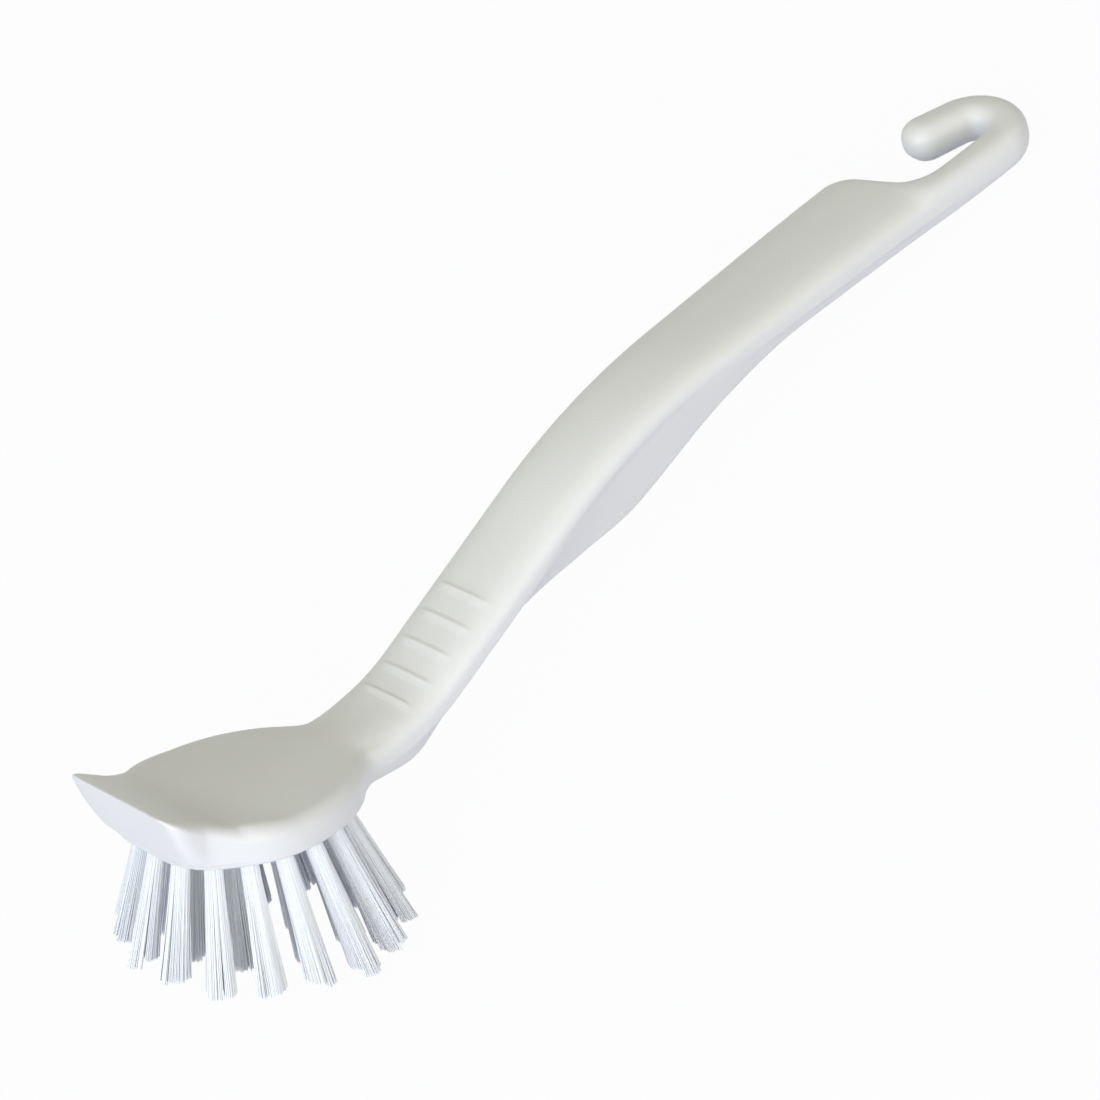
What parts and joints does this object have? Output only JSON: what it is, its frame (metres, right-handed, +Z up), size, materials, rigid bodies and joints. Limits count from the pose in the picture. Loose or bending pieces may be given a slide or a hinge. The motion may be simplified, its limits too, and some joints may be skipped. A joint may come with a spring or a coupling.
{
  "type": "cleaning brush",
  "caption": "Washing-up brush moulded in one piece, with an egg-shaped head of fanned bristle tufts, a scraper lip, a ribbed neck, a swollen grip and a hanging hook.",
  "frame": {"origin": "middle of the footprint's bounding box, on the surface the brush lies on", "axes": "+X from the scraper to the hook, +Y to the side the hook opens to, +Z up from the surface"},
  "size_m": [0.2838, 0.063, 0.0716],
  "materials": {
    "white_polypropylene": "satin moulded polypropylene, off-white",
    "nylon_bristle": "cool white nylon filament with a soft sheen",
    "anchor_steel": "plain drawn steel strip"
  },
  "bodies": {
    "root": {"brush_body": "white_polypropylene", "tuft_01": "nylon_bristle", "tuft_02": "nylon_bristle", "tuft_03": "nylon_bristle", "tuft_04": "nylon_bristle", "tuft_05": "nylon_bristle", "tuft_06": "nylon_bristle", "tuft_07": "nylon_bristle", "tuft_08": "nylon_bristle", "tuft_09": "nylon_bristle", "tuft_10": "nylon_bristle", "tuft_11": "nylon_bristle", "tuft_12": "nylon_bristle", "tuft_13": "nylon_bristle", "tuft_14": "nylon_bristle", "tuft_15": "nylon_bristle", "tuft_16": "nylon_bristle", "tuft_17": "nylon_bristle", "tuft_18": "nylon_bristle", "tuft_19": "nylon_bristle", "tuft_20": "nylon_bristle", "tuft_21": "nylon_bristle", "tuft_22": "nylon_bristle", "tuft_23": "nylon_bristle", "tuft_24": "nylon_bristle", "tuft_25": "nylon_bristle", "tuft_26": "nylon_bristle", "tuft_27": "nylon_bristle", "tuft_28": "nylon_bristle", "tuft_29": "nylon_bristle", "anchor_01": "anchor_steel", "anchor_02": "anchor_steel", "anchor_03": "anchor_steel", "anchor_04": "anchor_steel", "anchor_05": "anchor_steel", "anchor_06": "anchor_steel", "anchor_07": "anchor_steel", "anchor_08": "anchor_steel", "anchor_09": "anchor_steel", "anchor_10": "anchor_steel", "anchor_11": "anchor_steel", "anchor_12": "anchor_steel", "anchor_13": "anchor_steel", "anchor_14": "anchor_steel", "anchor_15": "anchor_steel", "anchor_16": "anchor_steel", "anchor_17": "anchor_steel", "anchor_18": "anchor_steel", "anchor_19": "anchor_steel", "anchor_20": "anchor_steel", "anchor_21": "anchor_steel", "anchor_22": "anchor_steel", "anchor_23": "anchor_steel", "anchor_24": "anchor_steel", "anchor_25": "anchor_steel", "anchor_26": "anchor_steel", "anchor_27": "anchor_steel", "anchor_28": "anchor_steel", "anchor_29": "anchor_steel"}
  },
  "joints": []
}
